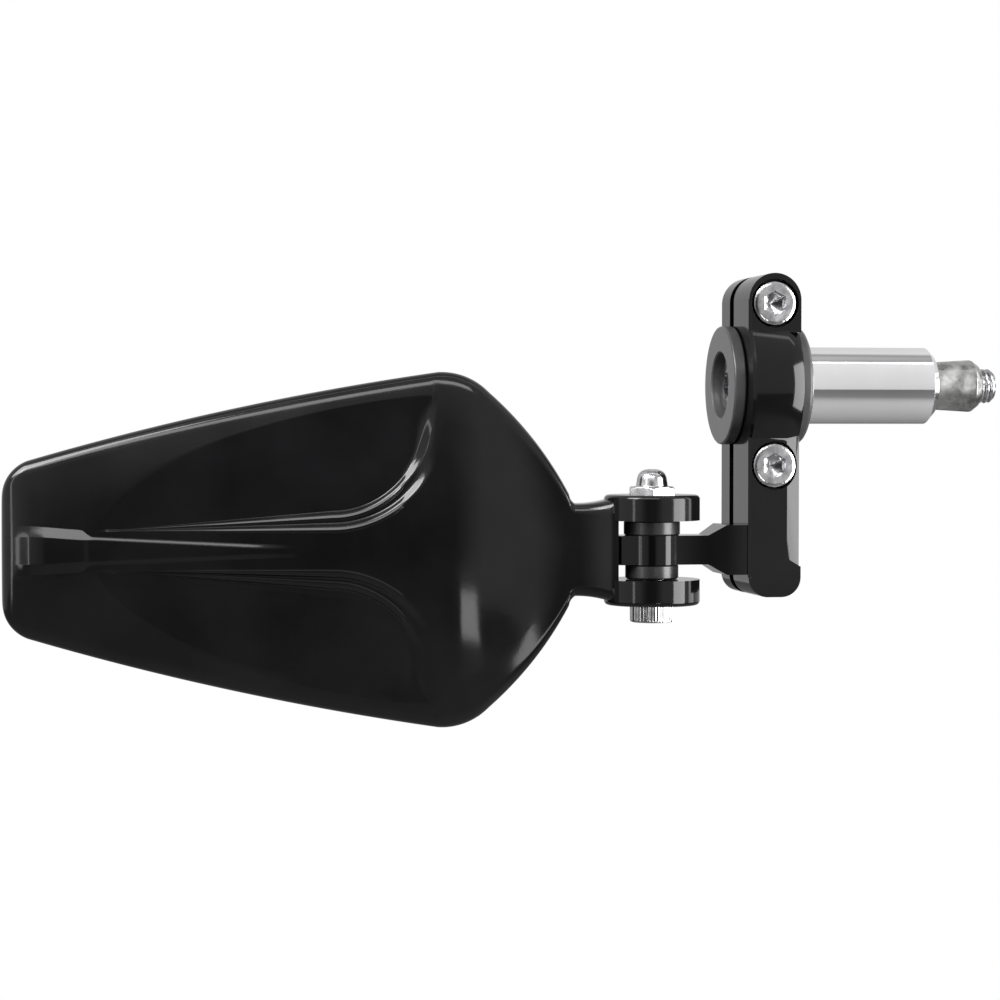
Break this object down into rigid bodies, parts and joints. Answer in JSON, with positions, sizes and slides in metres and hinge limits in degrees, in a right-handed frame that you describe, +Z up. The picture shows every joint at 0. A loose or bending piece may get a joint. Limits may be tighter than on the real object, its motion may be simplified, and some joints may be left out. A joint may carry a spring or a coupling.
{
  "type": "motorcycle bar end mirror",
  "caption": "Folding bar end mirror: a tapered dished head on a forked pivot, a split clamp that swings on an end spool, and an expanding insert for the handlebar.",
  "frame": {"origin": "centre of the spool's stop face, on the axis of the handlebar insert", "axes": "+X along the insert into the handlebar, +Z up, the glass looks towards +Y"},
  "size_m": [0.2294, 0.0415, 0.1029],
  "materials": {
    "gloss_black": "gloss black paint",
    "black_anodised": "semi-gloss black anodised",
    "chrome": "polished",
    "zinc_steel": "bright zinc",
    "dull_zinc": "dull mottled zinc",
    "black_polymer": "satin",
    "foam": "matte",
    "silvered_glass": "silvered glass"
  },
  "bodies": {
    "insert": {"end_spool": "black_anodised", "insert_sleeve": "chrome", "bolt_washer": "zinc_steel"},
    "bracket": {"clamp_front": "gloss_black", "clamp_rear": "gloss_black", "upper_clamp_screw": "zinc_steel", "lower_clamp_screw": "zinc_steel", "upper_bush": "black_polymer", "lower_bush": "black_polymer"},
    "head": {"mirror_housing": "gloss_black", "backing_plate": "black_polymer", "adhesive_pad": "foam", "mirror_glass": "silvered_glass", "pivot_bolt": "zinc_steel", "dome_nut": "zinc_steel"},
    "bolt": {"expander_bolt": "zinc_steel"},
    "wedge": {"expander_wedge": "dull_zinc"}
  },
  "joints": [
    {"name": "bracket_swing", "type": "hinge", "parent": "insert", "child": "bracket", "pos_m": [-0.0098, 0, 0], "axis": [1, 0, 0], "continuous": true},
    {"name": "head_fold", "type": "hinge", "parent": "bracket", "child": "head", "pos_m": [-0.0368, -0.0084, -0.03745], "axis": [0, 0, 1], "range_deg": [-80, 100]},
    {"name": "bolt_turn", "type": "hinge", "parent": "insert", "child": "bolt", "pos_m": [0, 0, 0], "axis": [1, 0, 0], "range_deg": [0, 865]},
    {"name": "wedge_draw", "type": "slide", "parent": "insert", "child": "wedge", "axis": [-1, 0, 0], "range_m": [0, 0.003]}
  ],
  "couplings": [
    {"joint": "bolt_turn", "follows": "wedge_draw", "rad_per_m": 5026.6}
  ]
}
